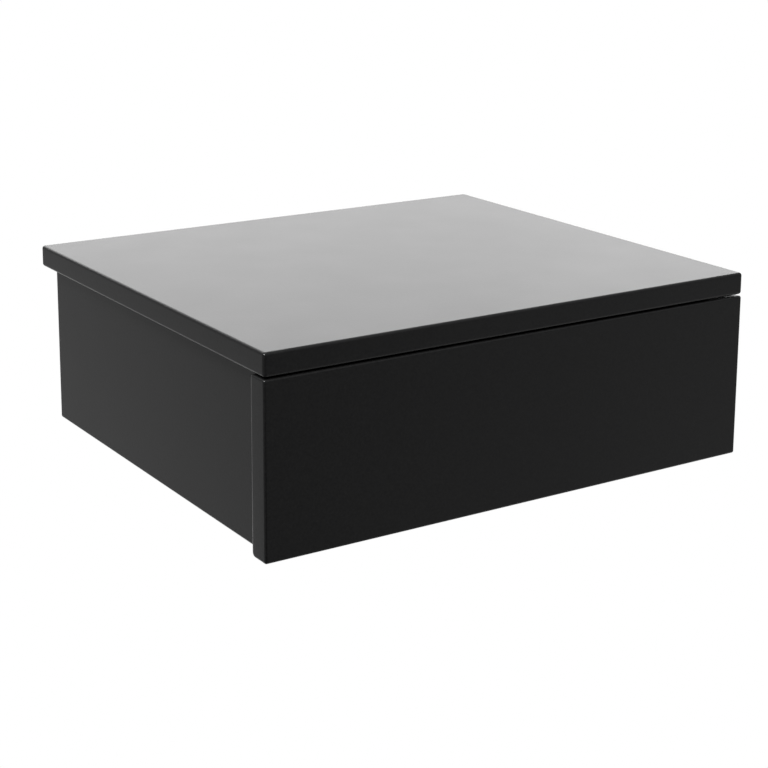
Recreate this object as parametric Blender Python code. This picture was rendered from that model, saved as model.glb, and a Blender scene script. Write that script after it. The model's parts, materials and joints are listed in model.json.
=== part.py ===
"""Wall-hung bedside cabinet with one handle-less drawer on full-extension ball-bearing runners.

Run it with: blender --background --python part.py
Units are metres and +Z is up. The origin is on the floor of the cabinet's box, at its middle. The drawer
front faces -Y and the wall is at +Y. "side" is +1 for the right half (+X) and -1 for the left half.
"""
import math
from collections import namedtuple

import bmesh
import bpy
from mathutils import Matrix, Vector

# Overall size
WIDTH = 0.370
DEPTH = 0.325
HEIGHT = 0.130
FRONT_Y = -DEPTH / 2
REAR_Y = DEPTH / 2

# Fits between pieces
GAP = 0.0003
CUT_OVERRUN = 0.002

# Cabinet boards
BOARD = 0.015
TOP_Z = HEIGHT - BOARD
TOP_EDGE_RADIUS = 0.002
TOP_EDGE_STEPS = 4
SIDE_INSET = 0.0105
SIDE_OUTER_X = WIDTH / 2 - SIDE_INSET
SIDE_INNER_X = SIDE_OUTER_X - BOARD
SIDE_EDGE_RADIUS = 0.0015
SIDE_EDGE_STEPS = 3
SIDE_TOP_Z = TOP_Z - GAP
BACK_FRONT_Y = REAR_Y - BOARD
BACK_X = SIDE_INNER_X - GAP
BOTTOM_BOARD = 0.006
BOTTOM_Z = 0.008
BOTTOM_SETBACK = 0.0365
GROOVE_DEPTH = 0.005

# Drawer front
FRONT_BOARD = 0.018
FRONT_BOTTOM_Z = 0.002
FRONT_TOP_GAP = 0.0011
FRONT_TOP_Z = TOP_Z - FRONT_TOP_GAP
FRONT_BACK_Y = FRONT_Y + FRONT_BOARD
FRONT_FACE_RADIUS = 0.0015
FRONT_REAR_RADIUS = 0.0038
FRONT_PULL_RADIUS = 0.0065
FRONT_EDGE_STEPS = 6
DRAWER_CLEARANCE = 0.002
SIDE_FRONT_Y = FRONT_BACK_Y + DRAWER_CLEARANCE
BOTTOM_FRONT_Y = FRONT_BACK_Y + BOTTOM_SETBACK

# Drawer box
DRAWER_BOARD = 0.012
DRAWER_FRONT_END_Y = FRONT_BACK_Y + GAP
DRAWER_LENGTH = 0.272
DRAWER_REAR_Y = DRAWER_FRONT_END_Y + DRAWER_LENGTH
DRAWER_LOW_Z = 0.022
DRAWER_HIGH_Z = 0.098
DRAWER_BOTTOM_BOARD = 0.004
DRAWER_BOTTOM_Z = 0.028
BOX_EDGE = 0.0008

# Runner, measured as "reach" from the side panel's inner face towards the drawer, and "lift" from its centre.
# A section is a bent sheet: web and mouth are its ends in reach, and its lips point inwards if lip < 0.
Section = namedtuple("Section", "web mouth half_height lip sheet")
RUNNER_WIDTH = 0.0123
RUNNER_BASE_X = SIDE_INNER_X - GAP
DRAWER_OUTER_X = RUNNER_BASE_X - RUNNER_WIDTH - GAP
DRAWER_INNER_X = DRAWER_OUTER_X - DRAWER_BOARD
RUNNER_Z = 0.058
RUNNER_LENGTH = 0.250
RUNNER_FRONT_Y = SIDE_FRONT_Y + 0.0025
DRAWER_RAIL_FRONT_Y = DRAWER_FRONT_END_Y + 0.0005
SHEET = 0.0012
CAGE_SHEET = 0.0006
LIP = 0.0009
BEND_INNER_RADIUS = 0.0002
BEND_STEPS = 3
CABINET_RAIL = Section(0.0, 0.0095, 0.0175, -LIP, SHEET)
OUTER_CAGE = Section(0.0015, 0.0080, 0.0150, 0.0, CAGE_SHEET)
MIDDLE_RAIL = Section(0.0024, 0.0106, 0.0131, LIP, SHEET)
INNER_CAGE = Section(0.0039, 0.0096, 0.0106, 0.0, CAGE_SHEET)
DRAWER_RAIL = Section(RUNNER_WIDTH, 0.0052, 0.0087, LIP, SHEET)
OUTER_BALL_REACH = 0.0060
INNER_BALL_REACH = 0.0078
BALL_RADIUS = 0.0014
BALL_SIDES = 8
BALLS_PER_ROW = 5
BALL_PITCH = 0.024
CAGE_LENGTH = 0.110

# Slots in the rails' webs, as (middle y, length, half width)
CABINET_RAIL_SLOTS = ((-0.060, 0.012, 0.0024), (-0.006, 0.024, 0.0024), (0.045, 0.012, 0.0024))
MIDDLE_RAIL_SLOTS = ((-0.120, 0.010, 0.0045), (-0.018, 0.026, 0.0030), (0.085, 0.010, 0.0045))
DRAWER_RAIL_SLOTS = ((-0.106, 0.012, 0.0024), (0.020, 0.016, 0.0024), (0.088, 0.010, 0.0024))
SLOT_END_STEPS = 10

# Release lever on each drawer rail
LEVER_PIVOT_Y = -0.030
LEVER_LENGTH = 0.052
LEVER_REACH = 0.0084
LEVER_THICKNESS = 0.002
LEVER_HEAD_RADIUS = 0.0040
LEVER_TIP_RADIUS = 0.0020
LEVER_PIN_RADIUS = 0.0015
LEVER_PIN_PLAY = 0.0004
LEVER_END_STEPS = 8

# Fasteners
Screw = namedtuple("Screw", "start direction head_radius head shank_radius length")
ROUND_SIDES = 12
HEAD_RIM = 0.25
POINT_RADIUS = 0.35
CAM_RADIUS = 0.0072
CAM_OFFSET = 0.024
CAM_RECESS = 0.0001
CABINET_CAM_DEPTH = 0.0120
DRAWER_CAM_DEPTH = 0.0094
DRAWER_CAM_AXIS_DEPTH = 0.0050
CAM_BOLT_HEAD_RADIUS = 0.0028
CAM_BOLT_SHANK_RADIUS = 0.0021
CAM_BOLT_THREAD = 0.0090
CAM_BOLT_HEAD = 0.0030
CAM_THROAT_RADIUS = 0.0033
CAM_THROAT_PAST = 0.0032
DOWEL_RADIUS = 0.0038
DOWEL_HALF_LENGTH = 0.0120
DOWEL_CHAMFER = 0.0008
RAIL_SCREW_HEAD_RADIUS = 0.0030
RAIL_SCREW_SHANK_RADIUS = 0.0015
RAIL_SCREW_HEAD = 0.0019
RAIL_SCREW_SHANK = 0.0085
BACK_SCREW_HEAD_RADIUS = 0.0036
BACK_SCREW_SHANK_RADIUS = 0.0019
BACK_SCREW_HEAD = 0.0026
BACK_SCREW_LENGTH = 0.0300
BUMPER_RADIUS = 0.0040
BUMPER_TIP_RADIUS = 0.0030
BUMPER_THICKNESS = DRAWER_CLEARANCE - 2 * GAP
BUMPER_RIM = 0.0009

# Places of the fasteners
TOP_CAM_Y = (-0.095, 0.110)
BACK_CAM_Z = 0.056
BACK_DOWEL_Z = 0.092
CABINET_RAIL_SCREW_Y = (-0.120, 0.085)
DRAWER_RAIL_SCREW_Y = (-0.128, 0.062)
FRONT_CAM_Z = 0.082
BACK_SCREW_Z = (0.047, 0.083)
BUMPER_Z = 0.098

# Keyhole hanger plates
HANGER_X = 0.100
HANGER_Z = 0.084
HANGER_WIDTH = 0.050
HANGER_HEIGHT = 0.028
HANGER_SHEET = 0.0016
HANGER_CORNER_RADIUS = 0.003
HANGER_CORNER_STEPS = 5
HANGER_POCKET_DEPTH = 0.0085
HANGER_POCKET_HALF_WIDTH = 0.0085
HANGER_POCKET_HALF_HEIGHT = 0.0120
KEYHOLE_RADIUS = 0.0048
KEYHOLE_SLOT_HALF_WIDTH = 0.0024
KEYHOLE_DROP = 0.005
KEYHOLE_RISE = 0.009
KEYHOLE_ENTRY_STEPS = 16
KEYHOLE_SLOT_STEPS = 6
HANGER_SCREW_OFFSET = 0.018
HANGER_SCREW_HEAD_RADIUS = 0.0034
HANGER_SCREW_SHANK_RADIUS = 0.0017
HANGER_SCREW_HEAD = 0.0020
HANGER_SCREW_LENGTH = 0.0110

X_AXIS = Vector((1, 0, 0))
Y_AXIS = Vector((0, 1, 0))
Z_AXIS = Vector((0, 0, 1))
SIDES = {"left": -1, "right": 1}
SMOOTH_ANGLE = math.radians(40)


def clear_scene():
    for obj in list(bpy.data.objects):
        bpy.data.objects.remove(obj)


def make_material(name, colour, roughness, metallic=0.0):
    material = bpy.data.materials.new(name)
    material.use_nodes = True
    shader = material.node_tree.nodes["Principled BSDF"]
    shader.inputs["Base Color"].default_value = (*colour, 1.0)
    shader.inputs["Roughness"].default_value = roughness
    shader.inputs["Metallic"].default_value = metallic
    material.diffuse_color = (*colour, 1.0)
    return material


def make_materials():
    return {
        "lacquer": make_material("black_lacquer", (0.016, 0.016, 0.016), 0.38),
        "foil": make_material("black_foil_board", (0.030, 0.030, 0.031), 0.55),
        "steel": make_material("zinc_plated_steel", (0.62, 0.63, 0.64), 0.34, 1.0),
        "cast_zinc": make_material("cast_zinc", (0.50, 0.50, 0.51), 0.45, 1.0),
        "plastic": make_material("black_plastic", (0.022, 0.022, 0.024), 0.42),
        "felt_rubber": make_material("bumper_rubber", (0.055, 0.055, 0.058), 0.70),
        "beech": make_material("beech_dowel", (0.62, 0.43, 0.26), 0.70),
    }


def make_empty(name, location, parent=None):
    empty = bpy.data.objects.new(name, None)
    bpy.context.collection.objects.link(empty)
    empty.parent = parent
    place(empty, location)
    return empty


def place(obj, location):
    """Put an object's origin at a world location under a parent that is only translated."""
    origin = Vector(location)
    parent = obj.parent
    while parent is not None:
        origin -= parent.location
        parent = parent.parent
    obj.location = origin


# Shapes are added to a bmesh in world coordinates


def add_box(shape, low, high):
    low, high = Vector(low), Vector(high)
    centre = (low + high) / 2
    size = high - low
    matrix = Matrix.Translation(centre) @ Matrix.Diagonal((*size, 1.0))
    bmesh.ops.create_cube(shape, size=1.0, matrix=matrix)


def add_prism(shape, outline, depth):
    """Extrude a closed outline of world points along the vector depth."""
    bottom = [shape.verts.new(point) for point in outline]
    top = [shape.verts.new(Vector(point) + depth) for point in outline]
    faces = [shape.faces.new(bottom), shape.faces.new(list(reversed(top)))]
    for index in range(len(outline)):
        following = (index + 1) % len(outline)
        faces.append(shape.faces.new((bottom[index], top[index], top[following], bottom[following])))
    bmesh.ops.recalc_face_normals(shape, faces=faces)


def add_turned(shape, start, direction, profile, sides=ROUND_SIDES):
    """Turn a profile of (distance, radius) pairs about the line from start along direction."""
    direction = Vector(direction).normalized()
    across = direction.orthogonal().normalized()
    upright = direction.cross(across)
    rings = []
    for distance, radius in profile:
        centre = Vector(start) + direction * distance
        ring = []
        for index in range(sides):
            angle = 2 * math.pi * index / sides
            outward = across * math.cos(angle) + upright * math.sin(angle)
            ring.append(shape.verts.new(centre + outward * radius))
        rings.append(ring)
    faces = [shape.faces.new(rings[0]), shape.faces.new(list(reversed(rings[-1])))]
    for first, second in zip(rings, rings[1:]):
        for index in range(sides):
            following = (index + 1) % sides
            faces.append(shape.faces.new((first[index], second[index], second[following], first[following])))
    bmesh.ops.recalc_face_normals(shape, faces=faces)


def add_cylinder(shape, start, direction, radius, length, sides=ROUND_SIDES):
    add_turned(shape, start, direction, [(0.0, radius), (length, radius)], sides)


def link_shape(name, shape, origin, parent):
    bmesh.ops.translate(shape, vec=-Vector(origin), verts=shape.verts)
    mesh = bpy.data.meshes.new(name)
    shape.to_mesh(mesh)
    shape.free()
    obj = bpy.data.objects.new(name, mesh)
    bpy.context.collection.objects.link(obj)
    obj.parent = parent
    place(obj, origin)
    return obj


def make_piece(name, shape, material, parent, origin=(0.0, 0.0, 0.0)):
    obj = link_shape(name, shape, origin, parent)
    obj.data.materials.append(material)
    obj.data.shade_smooth()
    obj.data.set_sharp_from_angle(angle=SMOOTH_ANGLE)
    return obj


def combine(obj, shape, operation):
    """Cut a hidden shape from an object, or join it on, with a Boolean modifier."""
    tool = link_shape(obj.name + "_" + operation.lower(), shape, (0.0, 0.0, 0.0), None)
    tool.hide_render = True
    tool.display_type = "WIRE"
    modifier = obj.modifiers.new(operation.title(), "BOOLEAN")
    modifier.operation = operation
    modifier.solver = "EXACT"
    modifier.use_self = True
    modifier.object = tool


def soften(obj, width, segments, by_weight=False):
    modifier = obj.modifiers.new("Soft edges", "BEVEL")
    modifier.width = width
    modifier.segments = segments
    modifier.limit_method = "WEIGHT" if by_weight else "ANGLE"


# Fasteners and the holes that they sit in


def cam_bolt_profile(length):
    """Thread, shank and round head of a cam bolt, from the tip of its thread."""
    head_start = length - CAM_BOLT_HEAD
    return [
        (0.0, CAM_BOLT_HEAD_RADIUS), (CAM_BOLT_THREAD, CAM_BOLT_HEAD_RADIUS),
        (CAM_BOLT_THREAD, CAM_BOLT_SHANK_RADIUS), (head_start, CAM_BOLT_SHANK_RADIUS),
        (head_start, CAM_BOLT_HEAD_RADIUS), (length, CAM_BOLT_HEAD_RADIUS),
    ]


def add_screw(shape, screw):
    """A countersunk screw: flat head, its cone, and the shank with a blunt point."""
    add_turned(shape, screw.start, screw.direction, [
        (0.0, screw.head_radius), (screw.head * HEAD_RIM, screw.head_radius),
        (screw.head, screw.shank_radius), (screw.length - screw.shank_radius, screw.shank_radius),
        (screw.length, screw.shank_radius * POINT_RADIUS),
    ])


def add_screw_hole(shape, screw):
    """A pocket for the head, open towards the driver, and a pilot hole for the shank."""
    add_turned(shape, screw.start, screw.direction, [
        (-CUT_OVERRUN, screw.head_radius + GAP), (screw.head + GAP, screw.head_radius + GAP),
        (screw.head + GAP, screw.shank_radius + GAP), (screw.length + GAP, screw.shank_radius + GAP),
    ])


def add_sheet_hole(shape, screw, sheet):
    """A round hole for a screw's head, right through a sheet."""
    add_cylinder(shape, screw.start - screw.direction * CUT_OVERRUN, screw.direction,
                 screw.head_radius + GAP, 2 * CUT_OVERRUN + sheet)


def make_screw(name, screw, material, parent):
    shape = bmesh.new()
    add_screw(shape, screw)
    make_piece(name, shape, material, parent)


class CamJoint:
    """A cam lock in one board that pulls a bolt standing in the other board.

    face is the centre of the bolt on the joint's face, pull is the direction from there to the cam,
    and mouth is the direction out of the cam's pocket. mouth_distance is from the bolt's axis to the
    board's open face, and depth is the cam's own thickness.
    """

    def __init__(self, face, pull, mouth, mouth_distance, depth):
        self.pull = Vector(pull)
        self.mouth = Vector(mouth)
        self.centre = Vector(face) + self.pull * CAM_OFFSET
        self.tip = Vector(face) - self.pull * CAM_BOLT_THREAD
        self.open_face = self.centre + self.mouth * mouth_distance
        self.depth = depth
        self.bolt_length = CAM_BOLT_THREAD + CAM_OFFSET + CAM_BOLT_HEAD / 2

    def cut_cam_board(self, shape):
        add_cylinder(shape, self.open_face + self.mouth * CUT_OVERRUN, -self.mouth,
                     CAM_RADIUS + GAP, CUT_OVERRUN + CAM_RECESS + self.depth + GAP)
        add_cylinder(shape, self.centre - self.pull * (CAM_OFFSET + CUT_OVERRUN), self.pull,
                     CAM_THROAT_RADIUS, CAM_OFFSET + CUT_OVERRUN - CAM_RADIUS / 2)

    def cut_bolt_board(self, shape):
        add_cylinder(shape, self.tip - self.pull * GAP, self.pull,
                     CAM_BOLT_HEAD_RADIUS + GAP, CAM_BOLT_THREAD + CUT_OVERRUN)

    def make(self, name, materials, parent):
        cam_shape = bmesh.new()
        add_cylinder(cam_shape, self.open_face - self.mouth * CAM_RECESS, -self.mouth, CAM_RADIUS, self.depth)
        cam = make_piece(name + "_cam", cam_shape, materials["cast_zinc"], parent)
        throat = bmesh.new()
        add_cylinder(throat, self.centre - self.pull * (CAM_RADIUS + CUT_OVERRUN), self.pull,
                     CAM_THROAT_RADIUS, CAM_RADIUS + CUT_OVERRUN + CAM_THROAT_PAST)
        combine(cam, throat, "DIFFERENCE")
        bolt_shape = bmesh.new()
        add_turned(bolt_shape, self.tip, self.pull, cam_bolt_profile(self.bolt_length))
        make_piece(name + "_cam_bolt", bolt_shape, materials["steel"], parent)


def top_cam_joints():
    joints = {}
    middle = SIDE_INNER_X + BOARD / 2
    for side_name, side in SIDES.items():
        for place_name, y in zip(("front", "rear"), TOP_CAM_Y):
            joints[f"{side_name}_{place_name}_top"] = CamJoint(
                (side * middle, y, TOP_Z), -Z_AXIS, -side * X_AXIS, BOARD / 2, CABINET_CAM_DEPTH)
    return joints


def back_cam_joints():
    joints = {}
    for side_name, side in SIDES.items():
        joints[f"{side_name}_back"] = CamJoint(
            (side * SIDE_INNER_X, BACK_FRONT_Y + BOARD / 2, BACK_CAM_Z), -side * X_AXIS, -Y_AXIS,
            BOARD / 2, CABINET_CAM_DEPTH)
    return joints


def front_cam_joints():
    joints = {}
    for side_name, side in SIDES.items():
        joints[f"{side_name}_front"] = CamJoint(
            (side * (DRAWER_INNER_X + DRAWER_CAM_AXIS_DEPTH), FRONT_BACK_Y, FRONT_CAM_Z), Y_AXIS,
            -side * X_AXIS, DRAWER_CAM_AXIS_DEPTH, DRAWER_CAM_DEPTH)
    return joints


def joints_on(joints, side_name):
    return [joint for name, joint in joints.items() if name.startswith(side_name)]


# Cabinet boards


def make_top_panel(materials, parent, cams):
    shape = bmesh.new()
    add_box(shape, (-WIDTH / 2, FRONT_Y, TOP_Z), (WIDTH / 2, REAR_Y, HEIGHT))
    panel = make_piece("top_panel", shape, materials["lacquer"], parent)
    soften(panel, TOP_EDGE_RADIUS, TOP_EDGE_STEPS)
    holes = bmesh.new()
    for joint in cams.values():
        joint.cut_bolt_board(holes)
    combine(panel, holes, "DIFFERENCE")


def make_side_panel(side_name, materials, parent, top_cams, back_cams):
    side = SIDES[side_name]
    shape = bmesh.new()
    add_box(shape, (min(side * SIDE_INNER_X, side * SIDE_OUTER_X), SIDE_FRONT_Y, 0.0),
            (max(side * SIDE_INNER_X, side * SIDE_OUTER_X), REAR_Y, SIDE_TOP_Z))
    panel = make_piece(side_name + "_side_panel", shape, materials["lacquer"], parent)
    soften(panel, SIDE_EDGE_RADIUS, SIDE_EDGE_STEPS)
    holes = bmesh.new()
    groove_x = (side * (SIDE_INNER_X - CUT_OVERRUN), side * (SIDE_INNER_X + GROOVE_DEPTH))
    add_box(holes, (min(groove_x), BOTTOM_FRONT_Y - GAP, BOTTOM_Z - GAP),
            (max(groove_x), BACK_FRONT_Y, BOTTOM_Z + BOTTOM_BOARD + GAP))
    for joint in joints_on(top_cams, side_name):
        joint.cut_cam_board(holes)
    for joint in joints_on(back_cams, side_name):
        joint.cut_bolt_board(holes)
    for y in CABINET_RAIL_SCREW_Y:
        add_screw_hole(holes, cabinet_rail_screw(side, y))
    add_cylinder(holes, (side * (SIDE_INNER_X - CUT_OVERRUN), BACK_FRONT_Y + BOARD / 2, BACK_DOWEL_Z),
                 side * X_AXIS, DOWEL_RADIUS + GAP, CUT_OVERRUN + DOWEL_HALF_LENGTH)
    combine(panel, holes, "DIFFERENCE")


def make_back_panel(materials, parent, cams):
    shape = bmesh.new()
    add_box(shape, (-BACK_X, BACK_FRONT_Y, 0.0), (BACK_X, REAR_Y, SIDE_TOP_Z))
    panel = make_piece("back_panel", shape, materials["lacquer"], parent)
    soften(panel, BOX_EDGE, 1)
    holes = bmesh.new()
    for joint in cams.values():
        joint.cut_cam_board(holes)
    for side in SIDES.values():
        add_cylinder(holes, (side * (BACK_X + CUT_OVERRUN), BACK_FRONT_Y + BOARD / 2, BACK_DOWEL_Z),
                     -side * X_AXIS, DOWEL_RADIUS + GAP, CUT_OVERRUN + DOWEL_HALF_LENGTH + GAP)
        add_hanger_pocket(holes, side)
    combine(panel, holes, "DIFFERENCE")


def make_bottom_panel(materials, parent):
    reach = SIDE_INNER_X + GROOVE_DEPTH - GAP
    shape = bmesh.new()
    add_box(shape, (-reach, BOTTOM_FRONT_Y, BOTTOM_Z), (reach, BACK_FRONT_Y - GAP, BOTTOM_Z + BOTTOM_BOARD))
    panel = make_piece("bottom_panel", shape, materials["foil"], parent)
    soften(panel, BOX_EDGE, 1)


def make_back_dowels(materials, parent):
    length = 2 * DOWEL_HALF_LENGTH - GAP
    for side_name, side in SIDES.items():
        shape = bmesh.new()
        start = (side * (SIDE_INNER_X + DOWEL_HALF_LENGTH - GAP), BACK_FRONT_Y + BOARD / 2, BACK_DOWEL_Z)
        add_turned(shape, start, -side * X_AXIS, [
            (0.0, DOWEL_RADIUS - DOWEL_CHAMFER), (DOWEL_CHAMFER, DOWEL_RADIUS),
            (length - DOWEL_CHAMFER, DOWEL_RADIUS), (length, DOWEL_RADIUS - DOWEL_CHAMFER),
        ])
        make_piece(side_name + "_back_dowel", shape, materials["beech"], parent)


def make_bumpers(materials, parent):
    middle = SIDE_INNER_X + BOARD / 2
    for side_name, side in SIDES.items():
        shape = bmesh.new()
        add_turned(shape, (side * middle, SIDE_FRONT_Y - GAP, BUMPER_Z), -Y_AXIS, [
            (0.0, BUMPER_RADIUS), (BUMPER_RIM, BUMPER_RADIUS), (BUMPER_THICKNESS, BUMPER_TIP_RADIUS),
        ])
        make_piece(side_name + "_bumper", shape, materials["felt_rubber"], parent)


# Keyhole hangers


def hanger_screw(side, offset):
    return Screw(Vector((side * HANGER_X + offset, REAR_Y - 2 * GAP, HANGER_Z)), -Y_AXIS,
                 HANGER_SCREW_HEAD_RADIUS, HANGER_SCREW_HEAD, HANGER_SCREW_SHANK_RADIUS, HANGER_SCREW_LENGTH)


def hanger_screws(side):
    return {
        "outer": hanger_screw(side, side * HANGER_SCREW_OFFSET),
        "inner": hanger_screw(side, -side * HANGER_SCREW_OFFSET),
    }


def add_rounded_plate(shape, x, half_width, half_height, front_y, rear_y):
    """An upright plate at the hangers' height, with round corners."""
    outline = []
    for quarter, (right, up) in enumerate(((1, 1), (-1, 1), (-1, -1), (1, -1))):
        centre_x = x + right * (half_width - HANGER_CORNER_RADIUS)
        centre_z = HANGER_Z + up * (half_height - HANGER_CORNER_RADIUS)
        for index in range(HANGER_CORNER_STEPS + 1):
            angle = math.pi / 2 * (quarter + index / HANGER_CORNER_STEPS)
            outline.append(Vector((centre_x + HANGER_CORNER_RADIUS * math.cos(angle), front_y,
                                   centre_z + HANGER_CORNER_RADIUS * math.sin(angle))))
    add_prism(shape, outline, Y_AXIS * (rear_y - front_y))


def add_hanger_pocket(shape, side):
    """A shallow seat for the plate, a deep pocket for the wall screw's head, and the screw holes."""
    x = side * HANGER_X
    half_width = HANGER_WIDTH / 2 + GAP
    half_height = HANGER_HEIGHT / 2 + GAP
    seat_y = REAR_Y - HANGER_SHEET - 2 * GAP
    pocket_y = REAR_Y - HANGER_POCKET_DEPTH
    add_rounded_plate(shape, x, half_width, half_height, seat_y, REAR_Y + CUT_OVERRUN)
    add_rounded_plate(shape, x, HANGER_POCKET_HALF_WIDTH, HANGER_POCKET_HALF_HEIGHT, pocket_y, seat_y + GAP)
    for screw in hanger_screws(side).values():
        add_screw_hole(shape, screw)


def make_hangers(materials, parent):
    rear = REAR_Y - GAP
    for side_name, side in SIDES.items():
        x = side * HANGER_X
        shape = bmesh.new()
        add_rounded_plate(shape, x, HANGER_WIDTH / 2, HANGER_HEIGHT / 2, rear - HANGER_SHEET, rear)
        plate = make_piece(side_name + "_hanger_plate", shape, materials["steel"], parent)
        holes = bmesh.new()
        add_keyhole(holes, x, rear)
        for place_name, screw in hanger_screws(side).items():
            add_sheet_hole(holes, screw, HANGER_SHEET)
            make_screw(f"{side_name}_hanger_{place_name}_screw", screw, materials["steel"], parent)
        combine(plate, holes, "DIFFERENCE")


def add_keyhole(shape, x, rear):
    """One closed outline: a round entry below and a narrow slot with a round end above it."""
    low = HANGER_Z - KEYHOLE_DROP
    high = HANGER_Z + KEYHOLE_RISE
    meet = math.asin(KEYHOLE_SLOT_HALF_WIDTH / KEYHOLE_RADIUS)
    outline = []
    for index in range(KEYHOLE_ENTRY_STEPS + 1):
        angle = meet + (2 * math.pi - 2 * meet) * index / KEYHOLE_ENTRY_STEPS
        outline.append((x + KEYHOLE_RADIUS * math.sin(angle), low + KEYHOLE_RADIUS * math.cos(angle)))
    for index in range(KEYHOLE_SLOT_STEPS + 1):
        angle = math.pi * index / KEYHOLE_SLOT_STEPS
        outline.append((x - KEYHOLE_SLOT_HALF_WIDTH * math.cos(angle),
                        high + KEYHOLE_SLOT_HALF_WIDTH * math.sin(angle)))
    front = rear - HANGER_SHEET - CUT_OVERRUN
    points = [(point_x, front, point_z) for point_x, point_z in outline]
    add_prism(shape, points, Y_AXIS * (HANGER_SHEET + 2 * CUT_OVERRUN))


# Runners


def runner_point(side, reach, y, lift):
    return Vector((side * (RUNNER_BASE_X - reach), y, RUNNER_Z + lift))


def channel_line(section):
    """The middle of a channel's sheet, from lip to lip round the web, as (reach, lift) points."""
    toward_mouth = math.copysign(section.sheet / 2, section.mouth - section.web)
    web = section.web + toward_mouth
    arm = section.half_height - section.sheet / 2
    half = [(section.mouth, arm), (web, arm)]
    if section.lip != 0:
        mouth = section.mouth - toward_mouth
        tip = arm + math.copysign(section.sheet / 2, section.lip) + section.lip
        half = [(mouth, tip), (mouth, arm), (web, arm)]
    return half + [(reach, -lift) for reach, lift in reversed(half)]


def bend_points(corner, before, after, offset, radius):
    """An arc round a square corner of a sheet's middle line, for the face at offset to the line's left."""
    turn = before.cross(after)
    left = Vector((-before.y, before.x))
    centre = corner + (after - before) * radius
    points = []
    for index in range(BEND_STEPS + 1):
        angle = math.pi / 2 * index / BEND_STEPS
        outward = before * math.sin(angle) - left * turn * math.cos(angle)
        points.append(centre + outward * (radius - turn * offset))
    return points


def sheet_outline(section):
    """Both faces of a channel's bent sheet, as one closed outline of (reach, lift) points."""
    line = [Vector(point) for point in channel_line(section)]
    runs = [(after - before).normalized() for before, after in zip(line, line[1:])]
    faces = []
    for offset in (section.sheet / 2, -section.sheet / 2):
        face = [line[0] + Vector((-runs[0].y, runs[0].x)) * offset]
        for corner, before, after in zip(line[1:], runs, runs[1:]):
            face += bend_points(corner, before, after, offset, BEND_INNER_RADIUS + section.sheet / 2)
        face.append(line[-1] + Vector((-runs[-1].y, runs[-1].x)) * offset)
        faces.append(face)
    return faces[0] + faces[1][::-1]


def channel_shape(side, section, front_y, length):
    shape = bmesh.new()
    points = [runner_point(side, reach, front_y, lift) for reach, lift in sheet_outline(section)]
    add_prism(shape, points, Y_AXIS * length)
    return shape


def add_slot(shape, side, section, slot):
    """A cutter with round ends, right through a channel's web."""
    middle_y, length, half_width = slot
    straight = length / 2 - half_width
    start = section.web - CUT_OVERRUN - SHEET
    outline = []
    for end in (1, -1):
        for index in range(SLOT_END_STEPS + 1):
            angle = math.pi * index / SLOT_END_STEPS
            y = middle_y + end * (straight + half_width * math.sin(angle))
            outline.append(runner_point(side, start, y, end * half_width * math.cos(angle)))
    add_prism(shape, outline, -side * X_AXIS * 2 * (CUT_OVERRUN + SHEET))


def cabinet_rail_screw(side, y):
    start = runner_point(side, SHEET - GAP, y, 0.0)
    return Screw(start, side * X_AXIS, RAIL_SCREW_HEAD_RADIUS, RAIL_SCREW_HEAD,
                 RAIL_SCREW_SHANK_RADIUS, RAIL_SCREW_HEAD + RAIL_SCREW_SHANK)


def drawer_rail_screw(side, y):
    start = runner_point(side, RUNNER_WIDTH - SHEET + GAP, y, 0.0)
    return Screw(start, -side * X_AXIS, RAIL_SCREW_HEAD_RADIUS, RAIL_SCREW_HEAD,
                 RAIL_SCREW_SHANK_RADIUS, RAIL_SCREW_HEAD + RAIL_SCREW_SHANK)


def make_rail(name, side, section, front_y, slots, screws, material, parent):
    """A rail with slots in its web, and a hole for the head of each screw that holds it."""
    rail = make_piece(name, channel_shape(side, section, front_y, RUNNER_LENGTH), material, parent)
    holes = bmesh.new()
    for slot in slots:
        add_slot(holes, side, section, slot)
    for screw in screws:
        add_sheet_hole(holes, screw, SHEET)
    combine(rail, holes, "DIFFERENCE")
    return rail


def make_cage(name, side, section, ball_reach, material, parent):
    """A thin channel whose two arms carry a row of balls each."""
    middle_y = RUNNER_FRONT_Y + RUNNER_LENGTH / 2
    row_lift = section.half_height - section.sheet / 2
    shape = channel_shape(side, section, middle_y - CAGE_LENGTH / 2, CAGE_LENGTH)
    cage = make_piece(name, shape, material, parent)
    balls = bmesh.new()
    for row in (-1, 1):
        for index in range(BALLS_PER_ROW):
            y = middle_y + (index - (BALLS_PER_ROW - 1) / 2) * BALL_PITCH
            centre = runner_point(side, ball_reach, y, row * row_lift)
            bmesh.ops.create_uvsphere(balls, u_segments=BALL_SIDES, v_segments=BALL_SIDES // 2,
                                      radius=BALL_RADIUS, matrix=Matrix.Translation(centre))
    combine(cage, balls, "UNION")


def make_lever(side_name, materials, parent):
    """A flat lever with a round head at its pivot, a rounded tip, and a pin that turns in the rail's web."""
    side = SIDES[side_name]
    pivot = runner_point(side, LEVER_REACH, LEVER_PIVOT_Y, 0.0)
    outline = []
    for radius, end_y, end in ((LEVER_HEAD_RADIUS, 0.0, 1), (LEVER_TIP_RADIUS, -LEVER_LENGTH, -1)):
        for index in range(LEVER_END_STEPS + 1):
            angle = math.pi * index / LEVER_END_STEPS
            y = end_y + end * radius * math.sin(angle)
            outline.append(Vector((0.0, y, end * radius * math.cos(angle))))
    shape = bmesh.new()
    add_prism(shape, [pivot + point for point in outline], -side * X_AXIS * LEVER_THICKNESS)
    lever = make_piece(side_name + "_release_lever", shape, materials["plastic"], parent, pivot)
    pin = bmesh.new()
    add_cylinder(pin, pivot - side * X_AXIS * LEVER_THICKNESS / 2, -side * X_AXIS, LEVER_PIN_RADIUS,
                 RUNNER_WIDTH - GAP - LEVER_REACH - LEVER_THICKNESS / 2)
    combine(lever, pin, "UNION")


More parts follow.
